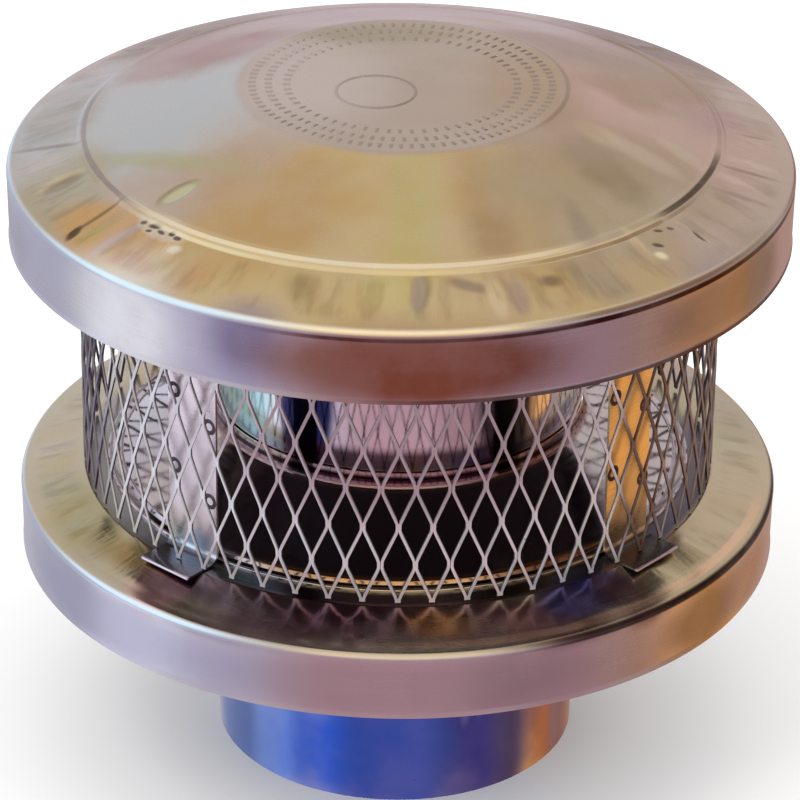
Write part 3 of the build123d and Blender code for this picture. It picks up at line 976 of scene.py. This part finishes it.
def makeLeg(name, azimuth):
    low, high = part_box(name)
    foot, head = low.z / mm, high.z / mm
    inner, outer = leg["radius"], leg["radius"] + leg["reach"]
    edge = leg["edgeRounding"]
    line = np.array(spread(bentLine([
        (outer, foot, 0),
        (outer - 0.3 * edge, foot, 0),
        (outer - edge, foot, 0),
        (inner, foot, leg["footBend"]),
        (inner, head, leg["headBend"]),
        (outer, head - leg["headDrop"], 0),
    ]), 4.0))
    normals = lineNormals(line)
    columns = np.linspace(-1, 1, leg["columns"] + 1)
    across = np.sign(columns) * (1 - (1 - np.abs(columns)) ** 1.6) * leg["width"] / 2
    rows = len(line)
    vertices = []
    for side in (0, 1):
        for (r, z), (normalR, normalZ) in zip(line, normals):
            fromEnd = min(1.0, (outer - r) / leg["cornerRounding"])
            corner = leg["cornerRounding"] * (1 - (1 - (1 - fromEnd) ** 2) ** 0.5)
            worn = max(0.0, 1 - (outer - r) / edge)
            sheet = leg["sheet"] - 0.8 * edge * (1 - (1 - worn ** 2) ** 0.5)
            for place in across:
                x, y = r - normalR * sheet * side, place * (1 - 2 * corner / leg["width"])
                vertices.append((x * mm, y * mm, (z - normalZ * sheet * side) * mm))
    wide = leg["columns"] + 1
    other = rows * wide
    faces = []
    for row in range(rows - 1):
        for k in range(wide - 1):
            a = row * wide + k
            b = other + a
            faces += [(a, a + 1, a + wide + 1, a + wide), (b, b + wide, b + wide + 1, b + 1)]
        for k in (0, wide - 1):
            a = row * wide + k
            faces.append((a, a + wide, other + a + wide, other + a))
    for row in (0, rows - 1):
        for k in range(wide - 1):
            a = row * wide + k
            faces.append((a, other + a, other + a + 1, a + 1))
    piece = makeObject(name.replace("_", "-"), vertices, faces, 40)
    piece.data.transform(Matrix.Rotation(radians(azimuth), 4, "Z"))
    return piece


legLook = {
    **plainLook,
    "tint": (100, 94, 96), "roughness": 0.2,
    # painted highlight along the feet's outer edge
    "arcs": [((100, 93, 100), 140.2, 0.9, 127.3, 1.2, -90, 400, 0.0, 1.0)],
    "patches": [
        # painted reflection in amber on the front right strap, a painted blue-white glint at the foot of the
        # front left one, painted shade on the feet
        ((100, 92, 70), (92, -82, 190), (24, 30, 80), 0, 0.3, 0.4, 0.9),
        ((86, 94, 100), (-84, -90, 132), (16, 16, 7), 0, 0.5, 0.8, 0.9),
        ((36, 34, 40), (0, 0, 127), (900, 900, 2.6), 0, 0.2, 0, 0.9),
    ],
}
legSteel = makeSteel("legSteel", legLook)

for number, name in enumerate(leg["names"]):
    dress(makeLeg(name, 90 * number - 45 + leg["turn"]), "leg_steel", name, metal=legSteel)

tack = {
    "places": [(-9.5, 164.0), (-9.5, 198.0), (9.5, 154.5), (9.5, 188.0)],  # across the strap and up it
    "profile": [(1.5, -0.1), (1.9, 0.175), (2.6, 0.25), (3.2, 0.1), (3.7, -0.1)],  # radius and height
    "segments": 20,
}


def makeTacks():  # low rings burnt into one strap where the screen was tacked to it
    face = leg["radius"] + leg["sheet"]
    vertices, faces = [], []
    for y, z in tack["places"]:

        def place(angle, a, b):
            return (face + b) * mm, (y + a * cos(angle)) * mm, (z + a * sin(angle)) * mm

        ring, sides = carryRound(tack["profile"], tack["segments"], place)
        faces += [tuple(len(vertices) + corner for corner in side) for side in sides]
        vertices += ring
    return makeObject("tacks", vertices, faces, 50)


tackLook = {**plainLook, "tint": (34, 30, 34), "roughness": 0.3}
dress(ringOfCopies("tackWelds", makeTacks(), 4, radians(leg["turn"] - 45), makeSteel("tackSteel", tackLook)),
      "leg_steel")


screenLow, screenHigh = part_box("spark_screen")
screen = {
    "radius": 131.0,
    "bottom": screenLow.z / mm,
    "top": screenHigh.z / mm,
    "meshes": 60,
    "pitch": 16.9,  # height of half a diamond; the row under the roof is sheared off part way
    "turn": 0.25,  # azimuth of the column at the front, past -90 degrees
    "strandWidth": 1.14,
    "strandThickness": 1.0,
    "twist": 20.0,  # strands lean out of the wall by this angle between their bonds
    "bond": 2.8,  # height over which two strands run side by side
    "course": [  # shares of the climb to the next bond, of the way across and of the twist
        (0.1, 0.075, 0.8), (0.5, 0.5, 1.0), (0.9, 0.925, 0.8), (1.0, 1.0, 0.3),
    ],
    "endGap": 0.4,
    "unevenness": 0.0016,
    "seed": 4,
}


def makeStrand(hand):
    # one strand from the bottom edge to the top edge, swinging between its two columns of bonds
    swing = pi / screen["meshes"]
    half = screen["strandWidth"] / 2 / screen["radius"]
    bottom, top = screen["bottom"] + screen["endGap"], screen["top"] - screen["endGap"]
    gap = screen["pitch"] - screen["bond"]
    course = [(0, 0, 0)]  # height above the lowest bond, place between the two columns, twist
    row = 0
    while course[-1][0] < top - bottom:
        start = row * screen["pitch"] + screen["bond"] / 2
        there = row % 2
        course.append((start, there, 0))
        for share, place, twisted in screen["course"]:
            course.append((start + share * gap, abs(there - place), twisted))
        row += 1
    heights = np.array([h for h, place, twisted in course])
    limit = top - bottom
    kept = [point for point in course if point[0] < limit - 0.3]
    last = np.array([np.interp(limit, heights, [point[k] for point in course]) for k in (1, 2)])
    kept.append((limit, last[0], last[1]))
    path = [(half + place * (swing - 2 * half), bottom + h, twisted) for h, place, twisted in kept]
    vertices, faces = [], []
    for number, (angle, height, twisted) in enumerate(path):
        before, after = path[max(number - 1, 0)], path[min(number + 1, len(path) - 1)]
        along = Vector((0, (after[0] - before[0]) * screen["radius"], after[1] - before[1])).normalized()
        lean = radians(screen["twist"]) * twisted * (1 if along.y >= 0 else -1)
        outward = Vector((cos(lean), 0, 0)) + along.cross(Vector((1, 0, 0))) * sin(lean)
        sideways = along.cross(outward)
        for a, b in ((-1, -1), (1, -1), (1, 1), (-1, 1)):
            offset = outward * a * screen["strandThickness"] / 2 + sideways * b * screen["strandWidth"] / 2
            radius = screen["radius"] + offset.x
            around = hand * (angle + offset.y / screen["radius"])
            vertices.append((radius * cos(around) * mm, radius * sin(around) * mm, (height + offset.z) * mm))
    for number in range(len(path) - 1):
        a = number * 4
        faces += [(a + k, a + (k + 1) % 4, a + 4 + (k + 1) % 4, a + 4 + k) for k in range(4)]
    last = (len(path) - 1) * 4
    faces += [(3, 2, 1, 0), (last, last + 1, last + 2, last + 3)]
    return makeObject("strand", vertices, faces, 30)


screenLook = {
    **plainLook,
    "tint": (40, 36, 38), "roughness": 0.34, "rings": 2000.0, "relief": 0.1, "specks": 0.02,
    "hazeColour": (60, 60, 60), "hazeScale": 60.0, "hazeTint": 0.2,
    "metallic": 0.78,
    "underArcs": [((96, 96, 98), 131.9, 0.9, 190, 100, -90, 400, 0.0, 1.0)],  # painted highlight on the outer faces; the dark tint left on the other sides is painted shade
    "patches": [
        # painted reflections and shade: dark at the left and right, dark brown and amber by the right leg,
        # pinkish grey in front
        ((42, 38, 46), (-132, -22, 190), (22, 56, 100), 0, 0.3, 0.2, 0.85),
        ((44, 34, 30), (122, -38, 190), (26, 64, 100), 0, 0.3, 0.3, 0.85),
        ((40, 25, 14), (98, -87, 190), (14, 14, 100), 0, 0.4, 0.3, 0.9),
        ((70, 59, 63), (0, -131, 200), (80, 60, 36), 0, 0.4, 0.3, 0.75),
    ],
}
screenSteel = makeSteel("screenSteel", screenLook)

firstAngle = radians(screen["turn"] - 90)
halves = [ringOfCopies("screenStrands" + label, makeStrand(hand), screen["meshes"], firstAngle, screenSteel,
                       screen["unevenness"], screen["seed"]) for label, hand in (("Left", -1), ("Right", 1))]
dress(joinMeshes("sparkScreen", halves), "screen_steel", "spark_screen")

stampLook = {
    **plainLook,
    "tint": (66, 59, 56), "roughness": 0.2,
    # painted reflection, as on the disc round the marks
    "patches": [((76, 71, 71), (-40, 4, 294), (30, 60, 20), 0, 0.5, 0.6, 0.8)],
}
tickRings = [ringOfCopies(f"ticks{number}", makeTick(radius, length, width), count, 0.02 * number, None,
                          stamp["unevenness"], number)
             for number, (radius, count, length, width) in enumerate(stamp["rings"])]
discMarks = joinMeshes("discMarks", tickRings + [makeHoop()])
discMarks.data.materials.clear()
dress(discMarks, "roof_steel", metal=makeSteel("pressedSteel", stampLook))


floor = {"half": 4.0, "tint": paint(97, 97, 97), "roughness": 0.9}


def makeFloor():
    half = floor["half"]
    piece = makeObject("studioFloor", [(-half, -half, 0), (half, -half, 0), (half, half, 0), (-half, half, 0)],
                       [(0, 1, 2, 3)])
    material = bpy.data.materials.new("floorPaint")
    material.use_nodes = True
    shader = material.node_tree.nodes["Principled BSDF"]
    shader.inputs["Base Color"].default_value = floor["tint"]
    shader.inputs["Roughness"].default_value = floor["roughness"]
    shader.inputs["Specular IOR Level"].default_value = 0.0
    piece.data.materials.append(material)
    piece.visible_glossy = False
    return piece


room = {
    "ground": paint(74, 70, 70),
    "seen": (1.14, 1.14, 1.14, 1.0),
    "strength": 1.0,
    "lobes": [  # azimuth, elevation, inner and outer angle, colour and brightness; what the metal mirrors
        (90, 60, 30, 85, (88, 86, 82), 1),
        (90, -6, 6, 24, (84, 80, 82), 1),
        (122, -12, 6, 26, (86, 90, 97), 1.3),
        (58, -14, 6, 22, (56, 44, 38), 1),
        (110, 20, 4, 20, (86, 87, 88), 1),
        (70, 18, 4, 20, (86, 82, 79), 1),
        (62, 48, 5, 24, (84, 80, 76), 1),
        (-90, 40, 10, 46, (97, 92, 80), 1.15),
        (-170, 30, 10, 46, (90, 96, 100), 1.2),
        (-5, 30, 10, 46, (48, 36, 30), 0.9),
        (150, -28, 20, 50, (71, 71, 76.5), 1),
        (-172, -28, 8, 26, (88, 88, 93), 1),
        (-140, -28, 6, 24, (71, 69, 78), 1),
        (-90, -28, 14, 42, (70, 56, 60), 1),
        (-40, -28, 10, 30, (60, 47, 50), 1),
        (5, -28, 12, 32, (60, 45, 38), 1),
        (16, -28, 4, 20, (90, 66, 42), 1),
        (62, -28, 8, 28, (70, 56, 50), 1),
    ],
}


def makeRoom():
    world = bpy.data.worlds.new("studioRoom")
    bpy.context.scene.world = world
    world.use_nodes = True
    tree = world.node_tree
    light = tree.nodes["Background"]
    direction = vectorMaths(tree, "NORMALIZE", addNode(tree, "ShaderNodeTexCoord").outputs["Generated"])
    colour = room["ground"]
    for azimuth, elevation, inner, outer, tint, brightness in room["lobes"]:
        a, e = radians(azimuth), radians(elevation)
        nearness = vectorMaths(tree, "DOT_PRODUCT", direction, (cos(e) * cos(a), cos(e) * sin(a), sin(e)),
                               output="Value")
        mask = ease(tree, nearness, cos(radians(outer)), cos(radians(inner)))
        colour = blendColours(tree, mask, colour, tuple(c * brightness for c in paint(*tint)[:3]) + (1.0,))
    mirrored = addNode(tree, "ShaderNodeLightPath").outputs["Is Glossy Ray"]
    feed(tree, light.inputs["Color"], blendColours(tree, mirrored, room["seen"], colour))
    light.inputs["Strength"].default_value = room["strength"]


lamps = {  # place, aim, width and height in metres, power in watts, colour
    "keyLight": ((-1.6, -1.4, 2.4), (0, 0, 0.2), (1.8, 1.8), 30.0, (1.0, 0.98, 0.96)),
    "fillLight": ((1.9, -0.9, 1.8), (0, 0, 0.2), (1.6, 1.6), 12.0, (1.0, 0.95, 0.9)),
}


def makeLamps():
    for name, (place, aim, size, power, tint) in lamps.items():
        lamp = bpy.data.lights.new(name, "AREA")
        lamp.shape = "RECTANGLE"
        lamp.size, lamp.size_y = size
        lamp.energy = power
        lamp.color = tint
        holder = bpy.data.objects.new(name, lamp)
        holder.location = place
        holder.rotation_euler = (Vector(aim) - Vector(place)).to_track_quat("-Z", "Y").to_euler()
        holder.visible_glossy = False  # the metal mirrors the room, not the lamps
        bpy.context.scene.collection.objects.link(holder)


view = {  # solved from the outlines of roof, base and tube
    "place": (0.0, -1.61456, 1.00178),
    "pitch": 0.4859,
    "yaw": 0.0004,
    "roll": 0.0121,
    "lens": 196.7,
    "sensor": 36.0,
}


def makeCamera():
    pitch, yaw, roll = view["pitch"], view["yaw"], view["roll"]
    ahead = Vector((sin(yaw) * cos(pitch), cos(yaw) * cos(pitch), -sin(pitch)))
    right = Vector((cos(yaw), -sin(yaw), 0))
    up = right.cross(ahead)
    level, above = right * cos(roll) + up * sin(roll), up * cos(roll) - right * sin(roll)
    lens = bpy.data.cameras.new("photoCamera")
    lens.lens, lens.sensor_width = view["lens"], view["sensor"]
    lens.clip_start, lens.clip_end = 0.05, 50
    holder = bpy.data.objects.new("photoCamera", lens)
    axes = Matrix((level, above, -ahead)).transposed().to_4x4()
    holder.matrix_world = Matrix.Translation(view["place"]) @ axes
    bpy.context.scene.collection.objects.link(holder)
    bpy.context.scene.camera = holder


makeFloor()
makeRoom()
makeLamps()
makeCamera()
bpy.context.scene.view_settings.view_transform = "Standard"
bpy.context.view_layer.update()
print("stage, light and camera are set")
